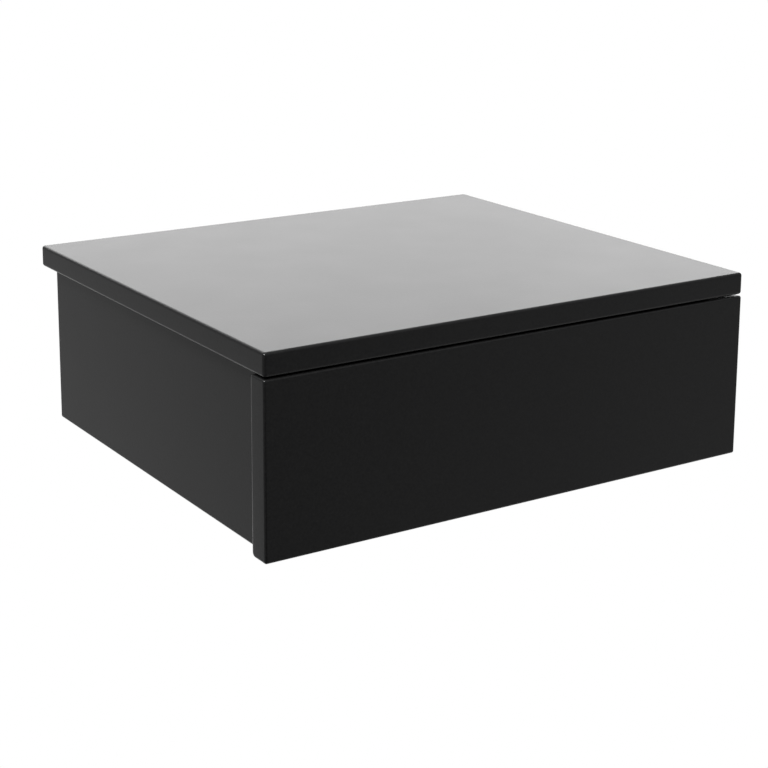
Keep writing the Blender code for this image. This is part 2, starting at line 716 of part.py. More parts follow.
def make_runner(side_name, materials, cabinet, drawer):
    side = SIDES[side_name]
    steel = materials["steel"]
    start = runner_point(side, 0.0, RUNNER_FRONT_Y, 0.0)
    middle = make_empty(side_name + "_middle_slide", start, cabinet)
    outer_cage = make_empty(side_name + "_outer_cage_slide", start, cabinet)
    inner_cage = make_empty(side_name + "_inner_cage_slide", start, cabinet)
    cabinet_screws = [cabinet_rail_screw(side, y) for y in CABINET_RAIL_SCREW_Y]
    drawer_screws = [drawer_rail_screw(side, y) for y in DRAWER_RAIL_SCREW_Y]

    make_rail(side_name + "_cabinet_rail", side, CABINET_RAIL, RUNNER_FRONT_Y,
              CABINET_RAIL_SLOTS, cabinet_screws, steel, cabinet)
    make_cage(side_name + "_outer_ball_cage", side, OUTER_CAGE, OUTER_BALL_REACH, steel, outer_cage)
    make_rail(side_name + "_middle_rail", side, MIDDLE_RAIL, RUNNER_FRONT_Y,
              MIDDLE_RAIL_SLOTS, (), steel, middle)
    make_cage(side_name + "_inner_ball_cage", side, INNER_CAGE, INNER_BALL_REACH, steel, inner_cage)
    rail = make_rail(side_name + "_drawer_rail", side, DRAWER_RAIL, DRAWER_RAIL_FRONT_Y,
                     DRAWER_RAIL_SLOTS, drawer_screws, steel, drawer)
    bearing = bmesh.new()
    add_cylinder(bearing, runner_point(side, RUNNER_WIDTH - SHEET - CUT_OVERRUN, LEVER_PIVOT_Y, 0.0),
                 -side * X_AXIS, LEVER_PIN_RADIUS + LEVER_PIN_PLAY, SHEET + 2 * CUT_OVERRUN)
    combine(rail, bearing, "DIFFERENCE")
    make_lever(side_name, materials, drawer)

    for group, screws, parent in (("cabinet", cabinet_screws, cabinet), ("drawer", drawer_screws, drawer)):
        for place_name, screw in zip(("front", "rear"), screws):
            make_screw(f"{side_name}_{group}_rail_{place_name}_screw", screw, steel, parent)


# Drawer box


def back_screw(side, z):
    start = Vector((side * (DRAWER_OUTER_X - GAP), DRAWER_REAR_Y - GAP - DRAWER_BOARD / 2, z))
    return Screw(start, -side * X_AXIS, BACK_SCREW_HEAD_RADIUS, BACK_SCREW_HEAD,
                 BACK_SCREW_SHANK_RADIUS, BACK_SCREW_LENGTH)


def front_edge_radius(edge):
    """The rear bottom edge, which fingers pull, is the roundest, and the face's edges are the sharpest."""
    if any(vert.co.y < FRONT_BACK_Y - GAP for vert in edge.verts):
        return FRONT_FACE_RADIUS
    if any(vert.co.z > FRONT_BOTTOM_Z + GAP for vert in edge.verts):
        return FRONT_REAR_RADIUS
    return FRONT_PULL_RADIUS


def make_drawer_front(materials, parent, cams):
    shape = bmesh.new()
    add_box(shape, (-WIDTH / 2, FRONT_Y, FRONT_BOTTOM_Z), (WIDTH / 2, FRONT_BACK_Y, FRONT_TOP_Z))
    weight = shape.edges.layers.float.new("bevel_weight_edge")
    for edge in shape.edges:
        edge[weight] = front_edge_radius(edge) / FRONT_PULL_RADIUS
    front = make_piece("drawer_front", shape, materials["lacquer"], parent)
    soften(front, FRONT_PULL_RADIUS, FRONT_EDGE_STEPS, by_weight=True)
    holes = bmesh.new()
    reach = DRAWER_INNER_X + GROOVE_DEPTH
    add_box(holes, (-reach, FRONT_BACK_Y - GROOVE_DEPTH, DRAWER_BOTTOM_Z - GAP),
            (reach, FRONT_BACK_Y + CUT_OVERRUN, DRAWER_BOTTOM_Z + DRAWER_BOTTOM_BOARD + GAP))
    for joint in cams.values():
        joint.cut_bolt_board(holes)
    combine(front, holes, "DIFFERENCE")


def make_drawer_side(side_name, materials, parent, cams):
    side = SIDES[side_name]
    faces_x = (side * DRAWER_INNER_X, side * DRAWER_OUTER_X)
    shape = bmesh.new()
    add_box(shape, (min(faces_x), DRAWER_FRONT_END_Y, DRAWER_LOW_Z),
            (max(faces_x), DRAWER_REAR_Y, DRAWER_HIGH_Z))
    board = make_piece(side_name + "_drawer_side", shape, materials["foil"], parent)
    soften(board, BOX_EDGE, 1)
    holes = bmesh.new()
    groove_x = (side * (DRAWER_INNER_X - CUT_OVERRUN), side * (DRAWER_INNER_X + GROOVE_DEPTH))
    add_box(holes, (min(groove_x), DRAWER_FRONT_END_Y - CUT_OVERRUN, DRAWER_BOTTOM_Z - GAP),
            (max(groove_x), DRAWER_REAR_Y + CUT_OVERRUN, DRAWER_BOTTOM_Z + DRAWER_BOTTOM_BOARD + GAP))
    for joint in joints_on(cams, side_name):
        joint.cut_cam_board(holes)
    for y in DRAWER_RAIL_SCREW_Y:
        add_screw_hole(holes, drawer_rail_screw(side, y))
    for z in BACK_SCREW_Z:
        add_screw_hole(holes, back_screw(side, z))
    combine(board, holes, "DIFFERENCE")


def make_drawer_back(materials, parent):
    reach = DRAWER_INNER_X - GAP
    low = (-reach, DRAWER_REAR_Y - GAP - DRAWER_BOARD, DRAWER_BOTTOM_Z + DRAWER_BOTTOM_BOARD + GAP)
    shape = bmesh.new()
    add_box(shape, low, (reach, DRAWER_REAR_Y - GAP, DRAWER_HIGH_Z))
    board = make_piece("drawer_back", shape, materials["foil"], parent)
    soften(board, BOX_EDGE, 1)
    holes = bmesh.new()
    for side in SIDES.values():
        for z in BACK_SCREW_Z:
            screw = back_screw(side, z)
            add_cylinder(holes, screw.start, screw.direction, screw.shank_radius + GAP, screw.length + GAP)
    combine(board, holes, "DIFFERENCE")


def make_drawer_bottom(materials, parent):
    reach = DRAWER_INNER_X + GROOVE_DEPTH - GAP
    shape = bmesh.new()
    add_box(shape, (-reach, FRONT_BACK_Y - GROOVE_DEPTH + GAP, DRAWER_BOTTOM_Z),
            (reach, DRAWER_REAR_Y - GAP, DRAWER_BOTTOM_Z + DRAWER_BOTTOM_BOARD))
    make_piece("drawer_bottom", shape, materials["foil"], parent)


def make_cabinet(materials, parent):
    top_cams = top_cam_joints()
    back_cams = back_cam_joints()
    make_top_panel(materials, parent, top_cams)
    for side_name in SIDES:
        make_side_panel(side_name, materials, parent, top_cams, back_cams)
    make_back_panel(materials, parent, back_cams)
    make_bottom_panel(materials, parent)
    for name, joint in {**top_cams, **back_cams}.items():
        joint.make(name, materials, parent)
    make_back_dowels(materials, parent)
    make_hangers(materials, parent)
    make_bumpers(materials, parent)


def make_drawer(materials, parent):
    cams = front_cam_joints()
    make_drawer_front(materials, parent, cams)
    for side_name in SIDES:
        make_drawer_side(side_name, materials, parent, cams)
    make_drawer_back(materials, parent)
    make_drawer_bottom(materials, parent)
    for name, joint in cams.items():
        joint.make(name, materials, parent)
    for side_name, side in SIDES.items():
        for place_name, z in zip(("lower", "upper"), BACK_SCREW_Z):
            name = f"{side_name}_drawer_back_{place_name}_screw"
            make_screw(name, back_screw(side, z), materials["steel"], parent)


def main():
    clear_scene()
    materials = make_materials()
    cabinet = make_empty("cabinet", (0.0, 0.0, 0.0))
    drawer = make_empty("drawer", (0.0, FRONT_Y, RUNNER_Z), cabinet)
    make_cabinet(materials, cabinet)
    make_drawer(materials, drawer)
    for side_name in SIDES:
        make_runner(side_name, materials, cabinet, drawer)


main()
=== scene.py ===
"""Looks of the wall-hung bedside cabinet: satin black lacquer boards, zinc-plated runners and fittings."""
import json
import math

import bmesh
import bpy
from mathutils import Matrix, Vector


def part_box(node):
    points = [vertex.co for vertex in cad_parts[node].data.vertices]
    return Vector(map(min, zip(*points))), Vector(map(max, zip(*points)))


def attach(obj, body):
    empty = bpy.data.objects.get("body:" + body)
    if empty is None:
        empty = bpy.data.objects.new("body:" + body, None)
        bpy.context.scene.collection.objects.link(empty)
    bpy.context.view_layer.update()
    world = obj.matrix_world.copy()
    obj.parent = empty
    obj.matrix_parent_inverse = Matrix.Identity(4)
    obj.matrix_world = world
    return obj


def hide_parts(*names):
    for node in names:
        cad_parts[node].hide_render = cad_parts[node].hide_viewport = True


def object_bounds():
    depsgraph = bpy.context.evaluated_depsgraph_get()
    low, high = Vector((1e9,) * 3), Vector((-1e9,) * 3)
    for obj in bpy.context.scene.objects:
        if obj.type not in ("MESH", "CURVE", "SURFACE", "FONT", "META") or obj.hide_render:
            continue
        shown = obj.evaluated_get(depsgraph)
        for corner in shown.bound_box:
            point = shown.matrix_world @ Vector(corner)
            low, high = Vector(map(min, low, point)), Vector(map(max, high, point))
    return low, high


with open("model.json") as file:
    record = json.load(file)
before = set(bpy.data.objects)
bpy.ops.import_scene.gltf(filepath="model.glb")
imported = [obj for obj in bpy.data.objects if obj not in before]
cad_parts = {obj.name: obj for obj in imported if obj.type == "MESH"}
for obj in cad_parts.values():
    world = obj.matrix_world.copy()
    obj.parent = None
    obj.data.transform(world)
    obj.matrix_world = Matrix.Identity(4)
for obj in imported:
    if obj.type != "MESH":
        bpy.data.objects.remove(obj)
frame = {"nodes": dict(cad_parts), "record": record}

CAD_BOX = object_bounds()
NODES = frame["nodes"]
SLOT_OF_NODE = {part["node"]: part["material_slot"] for part in frame["record"]["subparts"]}
CABINET_MIDDLE = (CAD_BOX[0] + CAD_BOX[1]) / 2


# Camera, placed from the middle of the front edge of the cabinet's box, on the floor of the box

CAMERA_FROM_FRONT = Vector((-0.6592, -0.8560, 0.4139))
CAMERA_YAW = math.radians(-32.96)
CAMERA_PITCH = math.radians(12.27)
CAMERA_ROLL = math.radians(0.32)
CAMERA_LENS = 84.03
CAMERA_SENSOR = 36.0
CAMERA_SHIFT_Y = -0.20
CAMERA_NEAREST = 0.01
CAMERA_FARTHEST = 50.0


def make_camera():
    """The camera at the photograph's angle, with a small shift that keeps upright edges nearly parallel."""
    data = bpy.data.cameras.new("camera")
    data.lens = CAMERA_LENS
    data.sensor_width = CAMERA_SENSOR
    data.shift_y = CAMERA_SHIFT_Y
    data.clip_start = CAMERA_NEAREST
    data.clip_end = CAMERA_FARTHEST
    camera = bpy.data.objects.new("camera", data)
    bpy.context.scene.collection.objects.link(camera)
    front_middle = Vector((CABINET_MIDDLE.x, CAD_BOX[0].y, CAD_BOX[0].z))
    turn = (Matrix.Rotation(CAMERA_YAW, 4, "Z") @ Matrix.Rotation(math.pi / 2 - CAMERA_PITCH, 4, "X")
            @ Matrix.Rotation(CAMERA_ROLL, 4, "Z"))
    camera.matrix_world = Matrix.Translation(front_middle + CAMERA_FROM_FRONT) @ turn
    bpy.context.scene.camera = camera


# Light

WHITE = (1.0, 1.0, 1.0, 1.0)

# Soft rectangular lamps that face the cabinet, as (name, place, width, height, radiance seen in a mirror)
LAMPS = (
    ("backdrop_light", (1.6, 2.6, 1.05), 4.6, 1.7, 2.1),
    ("backdrop_right_light", (2.6, 1.9, 1.0), 1.6, 1.7, 0.3),
    ("key_softbox", (-1.25, -1.00, 1.50), 0.9, 0.6, 36.0),
)


def make_lamp(name, place, width, height, radiance):
    """One lamp of LAMPS. Its power follows from its size and radiance."""
    data = bpy.data.lights.new(name, "AREA")
    data.shape = "RECTANGLE"
    data.size = width
    data.size_y = height
    data.energy = radiance * math.pi * width * height
    lamp = bpy.data.objects.new(name, data)
    bpy.context.scene.collection.objects.link(lamp)
    lamp.location = place
    lamp.rotation_euler = (CABINET_MIDDLE - Vector(place)).to_track_quat("-Z", "Y").to_euler()
    lamp.visible_camera = False


# Brightness of the room at (degrees from straight in front of the cabinet towards its right, strength)
ROOM_BRIGHTNESS = (
    (-180, 0.85), (-150, 0.22), (-92, 0.19), (-65, 0.05), (-20, 0.00), (12, 0.02),
    (29, 0.10), (45, 0.30), (70, 0.45), (130, 0.45), (180, 0.85),
)

# The room's brightness is multiplied by HORIZON_FACTOR from the horizon up, and by more and more below it, up
# to LOW_FACTOR at LOW_HEIGHT. A ceiling adds to it between its two heights. A height is the Z of the
# direction's unit vector.
HORIZON_FACTOR = 0.75
LOW_FACTOR = 1.35
LOW_HEIGHT = -0.6
CEILING_HEIGHTS = (0.05, 0.40)
CEILING_BRIGHTNESS = 0.06


def make_world():
    """White to the eye, and to the surfaces a dim room that is darkest in front and lighter below."""
    world = bpy.data.worlds.new("studio")
    bpy.context.scene.world = world
    world.use_nodes = True
    tree = world.node_tree
    tree.nodes.clear()

    def maths(operation, first, second):
        made = tree.nodes.new("ShaderNodeMath")
        made.operation = operation
        for socket, value in zip(made.inputs, (first, second)):
            if isinstance(value, bpy.types.NodeSocket):
                tree.links.new(value, socket)
            else:
                socket.default_value = value
        return made.outputs[0]

    def spread(value, from_low, from_high, low, high):
        made = tree.nodes.new("ShaderNodeMapRange")
        levels = {"From Min": from_low, "From Max": from_high, "To Min": low, "To Max": high}
        for name, level in levels.items():
            made.inputs[name].default_value = level
        tree.links.new(value, made.inputs["Value"])
        return made.outputs["Result"]

    def background(strength):
        made = tree.nodes.new("ShaderNodeBackground")
        made.inputs["Color"].default_value = WHITE
        if isinstance(strength, bpy.types.NodeSocket):
            tree.links.new(strength, made.inputs["Strength"])
        else:
            made.inputs["Strength"].default_value = strength
        return made.outputs[0]

    split = tree.nodes.new("ShaderNodeSeparateXYZ")
    tree.links.new(tree.nodes.new("ShaderNodeTexCoord").outputs["Generated"], split.inputs[0])
    turn = maths("ARCTAN2", split.outputs["X"], maths("MULTIPLY", split.outputs["Y"], -1.0))
    ramp = tree.nodes.new("ShaderNodeValToRGB")
    ramp.color_ramp.interpolation = "EASE"
    tree.links.new(maths("ADD", maths("MULTIPLY", turn, 0.5 / math.pi), 0.5), ramp.inputs["Fac"])
    while len(ramp.color_ramp.elements) < len(ROOM_BRIGHTNESS):
        ramp.color_ramp.elements.new(0.5)
    for stop, (degrees, strength) in zip(ramp.color_ramp.elements, ROOM_BRIGHTNESS):
        stop.position = 0.5 + degrees / 360
        stop.color = (strength, strength, strength, 1.0)
    below = spread(split.outputs["Z"], 0.0, LOW_HEIGHT, HORIZON_FACTOR, LOW_FACTOR)
    ceiling = spread(split.outputs["Z"], *CEILING_HEIGHTS, 0.0, CEILING_BRIGHTNESS)
    room = background(maths("ADD", maths("MULTIPLY", ramp.outputs["Color"], below), ceiling))
    mix = tree.nodes.new("ShaderNodeMixShader")
    tree.links.new(tree.nodes.new("ShaderNodeLightPath").outputs["Is Camera Ray"], mix.inputs["Fac"])
    tree.links.new(room, mix.inputs[1])
    tree.links.new(background(1.0), mix.inputs[2])
    out = tree.nodes.new("ShaderNodeOutputWorld")
    tree.links.new(mix.outputs[0], out.inputs["Surface"])


# Materials

class Material:
    """A Principled material and short ways to add nodes to it."""

    def __init__(self, name, colour, roughness, metallic=0.0):
        self.material = bpy.data.materials.new(name)
        self.material.use_nodes = True
        self.tree = self.material.node_tree
        self.shader = self.tree.nodes["Principled BSDF"]
        self.shader.inputs["Base Color"].default_value = (*colour, 1.0)
        self.shader.inputs["Roughness"].default_value = roughness
        self.shader.inputs["Metallic"].default_value = metallic

    def add(self, kind, inputs=None, **settings):
        made = self.tree.nodes.new(kind)
        for key, value in settings.items():
            setattr(made, key, value)
        for key, value in (inputs or {}).items():
            if isinstance(value, bpy.types.NodeSocket):
                self.tree.links.new(value, made.inputs[key])
            else:
                made.inputs[key].default_value = value
        return made

    def place(self, stretch=(1.0, 1.0, 1.0)):
        """The point on the piece in metres, stretched for grain."""
        point = self.add("ShaderNodeTexCoord").outputs["Object"]
        return self.add("ShaderNodeMapping", {"Vector": point, "Scale": stretch}).outputs["Vector"]

    def noise(self, scale, detail, roughness=0.5, stretch=(1.0, 1.0, 1.0)):
        return self.add("ShaderNodeTexNoise", {
            "Vector": self.place(stretch), "Scale": scale, "Detail": detail, "Roughness": roughness,
        }).outputs["Fac"]

    def spread(self, value, low=0.0, high=1.0, from_low=0.3, from_high=0.7):
        """The value stretched from one range to another, the first of which is where most noise lies."""
        return self.add("ShaderNodeMapRange", {
            "Value": value, "From Min": from_low, "From Max": from_high, "To Min": low, "To Max": high,
        }).outputs["Result"]

    def maths(self, operation, first, second):
        return self.add("ShaderNodeMath", {0: first, 1: second}, operation=operation).outputs[0]

    def mix_colour(self, factor, first, second):
        made = self.add("ShaderNodeMix", {0: factor, 6: (*first, 1.0), 7: (*second, 1.0)}, data_type="RGBA")
        return made.outputs[2]

    def upright_corner(self):
        """1 on the rounded upright corners of a board whose faces lie along the axes, 0 on its flat faces."""
        normal = self.add("ShaderNodeNewGeometry").outputs["Normal"]
        split = self.add("ShaderNodeSeparateXYZ", {0: normal})
        both = self.maths("ABSOLUTE", self.maths("MULTIPLY", split.outputs[0], split.outputs[1]), 0.0)
        return self.spread(both, from_low=0.20, from_high=0.45)

    def bump(self, height, distance):
        made = self.add("ShaderNodeBump", {"Height": height, "Distance": distance, "Strength": 1.0})
        self.set("Normal", made.outputs["Normal"])

    def set(self, name, value):
        if isinstance(value, bpy.types.NodeSocket):
            self.tree.links.new(value, self.shader.inputs[name])
        else:
            self.shader.inputs[name].default_value = value


def lacquer():
    """Sprayed satin black: a faint cloud in the gloss, a fine orange peel, and coarser upright corners."""
    made = Material("black_lacquer", colour=(0.006, 0.006, 0.006), roughness=0.36)
    speck = made.spread(made.noise(scale=700.0, detail=2.0))
    made.set("Base Color", made.mix_colour(speck, (0.0035, 0.0035, 0.0037), (0.0078, 0.0078, 0.0080)))
    made.set("Roughness", made.spread(made.noise(scale=28.0, detail=4.0), low=0.350, high=0.362))
    peel = made.noise(scale=560.0, detail=3.0, roughness=0.55)
    grain = made.spread(made.noise(scale=900.0, detail=2.0), high=2.5)
    coarse = made.maths("MULTIPLY", made.upright_corner(), grain)
    made.bump(made.maths("ADD", peel, coarse), distance=0.000030)
    return made.material


def foil_board():
    """Matt black foil with a fine pebble."""
    made = Material("black_foil_board", colour=(0.022, 0.022, 0.023), roughness=0.55)
    cloud = made.spread(made.noise(scale=14.0, detail=3.0))
    made.set("Base Color", made.mix_colour(cloud, (0.019, 0.019, 0.020), (0.026, 0.026, 0.027)))
    made.set("Roughness", made.spread(made.noise(scale=160.0, detail=3.0), low=0.50, high=0.60))
    made.bump(made.noise(scale=1700.0, detail=3.0), distance=0.00003)
    return made.material


def zinc_steel():
    """Bright zinc plating on rolled sheet: fine lines along the rail and a faint cool cast."""
    made = Material("zinc_plated_steel", colour=(0.62, 0.63, 0.64), roughness=0.30, metallic=1.0)
    lines = made.noise(scale=900.0, detail=4.0, roughness=0.6, stretch=(1.0, 0.03, 1.0))
    tone = made.spread(made.noise(scale=40.0, detail=3.0))
    made.set("Base Color", made.mix_colour(tone, (0.56, 0.575, 0.60), (0.68, 0.685, 0.68)))
    made.set("Roughness", made.spread(lines, low=0.24, high=0.40))
    made.bump(lines, distance=0.000008)
    return made.material


def cast_zinc():
    """Grey die-cast metal with a grainy skin."""
    made = Material("cast_zinc", colour=(0.50, 0.50, 0.51), roughness=0.45, metallic=1.0)
    skin = made.noise(scale=700.0, detail=3.0)
    made.set("Base Color", made.mix_colour(made.spread(skin), (0.42, 0.42, 0.43), (0.56, 0.56, 0.57)))
    made.set("Roughness", made.spread(skin, low=0.38, high=0.55))
    made.bump(skin, distance=0.00003)
    return made.material


def black_plastic():
    """Moulded plastic with a fine spark-eroded skin."""
    made = Material("black_plastic", colour=(0.020, 0.020, 0.021), roughness=0.42)
    skin = made.noise(scale=2200.0, detail=2.0)
    made.set("Roughness", made.spread(skin, low=0.36, high=0.48))
    made.bump(skin, distance=0.00002)
    return made.material


def bumper_rubber():
    """Dull soft rubber."""
    made = Material("bumper_rubber", colour=(0.05, 0.05, 0.052), roughness=0.72)
    skin = made.noise(scale=1200.0, detail=3.0)
    made.set("Roughness", made.spread(skin, low=0.66, high=0.80))
    made.bump(skin, distance=0.00003)
    return made.material


def beech():
    """Bare beech with short dark flecks along the dowel."""
    made = Material("beech", colour=(0.62, 0.43, 0.26), roughness=0.68)
    fleck = made.noise(scale=700.0, detail=4.0, roughness=0.6, stretch=(0.08, 1.0, 1.0))
    dark = made.spread(fleck, from_low=0.35, from_high=0.75)
    made.set("Base Color", made.mix_colour(dark, (0.66, 0.47, 0.29), (0.42, 0.26, 0.14)))
    made.bump(fleck, distance=0.00004)
    return made.material


MATERIALS = {
    "black_lacquer": lacquer(),
    "black_foil_board": foil_board(),
    "zinc_plated_steel": zinc_steel(),
    "cast_zinc": cast_zinc(),
    "black_plastic": black_plastic(),
    "bumper_rubber": bumper_rubber(),
    "beech": beech(),
}


# The CAD's own pieces

WELD_DISTANCE = 1e-6
CAD_SHARP_ANGLE = math.radians(38)


def smoothing_group():
    """Geometry nodes that weld the facets and keep only the edges steeper than CAD_SHARP_ANGLE sharp."""
    group = bpy.data.node_groups.new("smooth_facets", "GeometryNodeTree")
    group.interface.new_socket("Geometry", in_out="INPUT", socket_type="NodeSocketGeometry")
    group.interface.new_socket("Geometry", in_out="OUTPUT", socket_type="NodeSocketGeometry")
    start = group.nodes.new("NodeGroupInput")
    end = group.nodes.new("NodeGroupOutput")
    weld = group.nodes.new("GeometryNodeMergeByDistance")
    weld.inputs["Distance"].default_value = WELD_DISTANCE
    faces = group.nodes.new("GeometryNodeSetShadeSmooth")
    faces.domain = "FACE"
    edges = group.nodes.new("GeometryNodeSetShadeSmooth")
    edges.domain = "EDGE"
    edges.inputs["Shade Smooth"].default_value = False
    angle = group.nodes.new("GeometryNodeInputMeshEdgeAngle")
    steep = group.nodes.new("FunctionNodeCompare")
    steep.operation = "GREATER_THAN"
    steep.inputs["B"].default_value = CAD_SHARP_ANGLE
    group.links.new(angle.outputs["Unsigned Angle"], steep.inputs["A"])
    group.links.new(start.outputs[0], weld.inputs["Geometry"])
    group.links.new(weld.outputs[0], faces.inputs["Geometry"])
    group.links.new(faces.outputs[0], edges.inputs["Geometry"])
    group.links.new(steep.outputs[0], edges.inputs["Selection"])
    group.links.new(edges.outputs[0], end.inputs[0])
    return group


def keep_faces_flat(piece):
    """Shade large flat faces evenly up to the rounded edges beside them."""
    modifier = piece.modifiers.new("Flat faces stay flat", "WEIGHTED_NORMAL")
    modifier.keep_sharp = True


def finish_cad_nodes():
    """Every CAD node gets its slot's material and smooth shading."""
    group = smoothing_group()
    for name, node in NODES.items():
        slot = SLOT_OF_NODE[name]
        node.data.materials.clear()
        node.data.materials.append(MATERIALS[slot])
        smooth = node.modifiers.new("Smooth facets", "NODES")
        smooth.node_group = group
        keep_faces_flat(node)


# Detailed fittings, each in the place of its plain CAD solid. They are shaped in a frame of their own,
# whose +Z runs from the end that is named "start" into the board.

FINE_SIDES = 32
OVERRUN = 0.0005
SOFT_EDGE_STEPS = 2
DETAIL_SHARP_ANGLE = math.radians(35)
BODY_OF_NODE = {
    node: body for body, nodes in frame["record"]["behaviour"]["bodies"].items() for node in nodes
}
SIDES = {"left": -1, "right": 1}
X_AXIS = Vector((1, 0, 0))
Y_AXIS = Vector((0, 1, 0))
Z_AXIS = Vector((0, 0, 1))


def extent(node, direction):
    """How long a node is at rest along one of the axes."""
    low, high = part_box(node)
    return abs((high - low).dot(direction))


def placing(node, along, aside):
    """The frame of a fitting: it starts where its box does, +Z runs along, and +X runs aside."""
    low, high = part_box(node)
    along = Vector(along)
    aside = Vector(aside)
    matrix = Matrix((aside, along.cross(aside), along)).transposed().to_4x4()
    matrix.translation = (low + high) / 2 - along * extent(node, along) / 2
    return matrix


def turned(profile, sides=FINE_SIDES):
    """A solid turned about Z from (height, radius) pairs, with flat ends."""
    shape = bmesh.new()
    rings = []
    for height, radius in profile:
        angles = [2 * math.pi * index / sides for index in range(sides)]
        rings.append([shape.verts.new((radius * math.cos(a), radius * math.sin(a), height)) for a in angles])
    shape.faces.new(rings[0])
    shape.faces.new(rings[-1])
    for first, second in zip(rings, rings[1:]):
        for index in range(sides):
            following = (index + 1) % sides
            shape.faces.new((first[index], first[following], second[following], second[index]))
    bmesh.ops.recalc_face_normals(shape, faces=shape.faces)
    return shape


def extruded(outline, low, high):
    """A solid with an (x, y) outline between two heights."""
    shape = bmesh.new()
    floor = [shape.verts.new((x, y, low)) for x, y in outline]
    roof = [shape.verts.new((x, y, high)) for x, y in outline]
    shape.faces.new(floor)
    shape.faces.new(roof)
    for index in range(len(outline)):
        following = (index + 1) % len(outline)
        shape.faces.new((floor[index], floor[following], roof[following], roof[index]))
    bmesh.ops.recalc_face_normals(shape, faces=shape.faces)
    return shape


def arc(centre, radius, start, end, steps):
    """Points round a circle from one angle to another, in degrees."""
    angles = [math.radians(start + (end - start) * index / steps) for index in range(steps + 1)]
    return [(centre[0] + radius * math.cos(a), centre[1] + radius * math.sin(a)) for a in angles]


def rounded_rectangle(width, height, radius, steps=6):
    """Points round a rectangle with round corners, about its middle."""
    points = []
    corners = ((1, 1, 0), (-1, 1, 90), (-1, -1, 180), (1, -1, 270))
    for right, up, angle in corners:
        centre = (right * (width / 2 - radius), up * (height / 2 - radius))
        points += arc(centre, radius, angle, angle + 90, steps)
    return points


def moved(shape, matrix):
    """The same shape, after it has been moved."""
    bmesh.ops.transform(shape, matrix=matrix, verts=shape.verts)
    return shape


def temporary(shape):
    """An object to use as a body or a cutter, and to delete afterwards."""
    mesh = bpy.data.meshes.new("temporary")
    shape.to_mesh(mesh)
    shape.free()
    made = bpy.data.objects.new("temporary", mesh)
    bpy.context.scene.collection.objects.link(made)
    return made


def cut(shape, cutters, soft_edge=0.0):
    """The mesh of a shape less its cutters, with its sharp edges softened if soft_edge is given."""
    body = temporary(shape)
    tools = [temporary(cutter) for cutter in cutters]
    for tool in tools:
        modifier = body.modifiers.new("Cut", "BOOLEAN")
        modifier.solver = "EXACT"
        modifier.use_self = True
        modifier.object = tool
    if soft_edge > 0:
        bevel = body.modifiers.new("Soft edge", "BEVEL")
        bevel.width = soft_edge
        bevel.segments = SOFT_EDGE_STEPS
        bevel.limit_method = "ANGLE"
    bpy.context.view_layer.update()
    mesh = bpy.data.meshes.new_from_object(body.evaluated_get(bpy.context.evaluated_depsgraph_get()))
    for made in [body, *tools]:
        data = made.data
        bpy.data.objects.remove(made)
        bpy.data.meshes.remove(data)
    return mesh


def add_mesh(shape, mesh):
    """Take a finished mesh's faces into a shape."""
    shape.from_mesh(mesh)
    bpy.data.meshes.remove(mesh)


def place_piece(node, mesh, matrix):
    """Show a mesh instead of a CAD node, on the node's body and in the node's finish."""
    slot = SLOT_OF_NODE[node]
    if not mesh.materials:
        mesh.materials.append(MATERIALS[slot])
        mesh.shade_smooth()
        mesh.set_sharp_from_angle(angle=DETAIL_SHARP_ANGLE)
    piece = bpy.data.objects.new(node + "_detailed", mesh)
    bpy.context.scene.collection.objects.link(piece)
    keep_faces_flat(piece)
    piece.matrix_world = matrix
    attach(piece, BODY_OF_NODE[node])
    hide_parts(node)


def cross_recess(span, wing, depth):
    """Two crossed slots, span long and wing wide at the mouth, that taper to the bottom, as cutters."""
    narrow_span = 0.5
    narrow_wing = 0.7
    cutters = []
    for angle in (0, 90):
        shape = bmesh.new()
        bmesh.ops.create_cube(shape, size=1.0)
        for vert in shape.verts:
            deep = vert.co.z > 0
            vert.co.x *= span * (narrow_span if deep else 1.0)
            vert.co.y *= wing * (narrow_wing if deep else 1.0)
            vert.co.z = depth if deep else -OVERRUN
        cutters.append(moved(shape, Matrix.Rotation(math.radians(angle), 4, "Z")))
    return cutters


def thread(start, end, crest, root, pitch):
    """Profile points of a thread's ridges: a flank up, a narrow crest and a flank down in each pitch."""
    ridge = ((0.0, root), (0.40, crest), (0.55, crest), (0.95, root))
    points = []
    for index in range(int((end - start) / pitch)):
        height = start + index * pitch
        points += [(height + pitch * share, radius) for share, radius in ridge]
    return points


# Screws

SCREW_RIM = 0.0002
SCREW_RIM_SHARE = 0.25
SCREW_NECK = 0.0004
SCREW_THREAD_END = 0.0016
SCREW_TAPER = 0.0012
SCREW_PITCH = 0.0011
SCREW_ROOT_SHARE = 0.74
SCREW_TAPER_SHARE = 0.72
SCREW_POINT_SHARE = 0.15
SCREW_RECESS_SPAN = 1.12
SCREW_RECESS_WING = 0.30
SCREW_RECESS_DEPTH = 0.72
SCREW_TURN_STEP = 37

# The two screws of a kind on one side, their direction on the right side, head height and shank radius
SCREW_KINDS = (
    ("{side}_cabinet_rail_front_screw", "{side}_cabinet_rail_rear_screw", X_AXIS, 0.0019, 0.0015),
    ("{side}_drawer_rail_front_screw", "{side}_drawer_rail_rear_screw", -X_AXIS, 0.0019, 0.0015),
    ("{side}_drawer_back_lower_screw", "{side}_drawer_back_upper_screw", -X_AXIS, 0.0026, 0.0019),
    ("{side}_hanger_outer_screw", "{side}_hanger_inner_screw", -Y_AXIS, 0.0020, 0.0017),
)


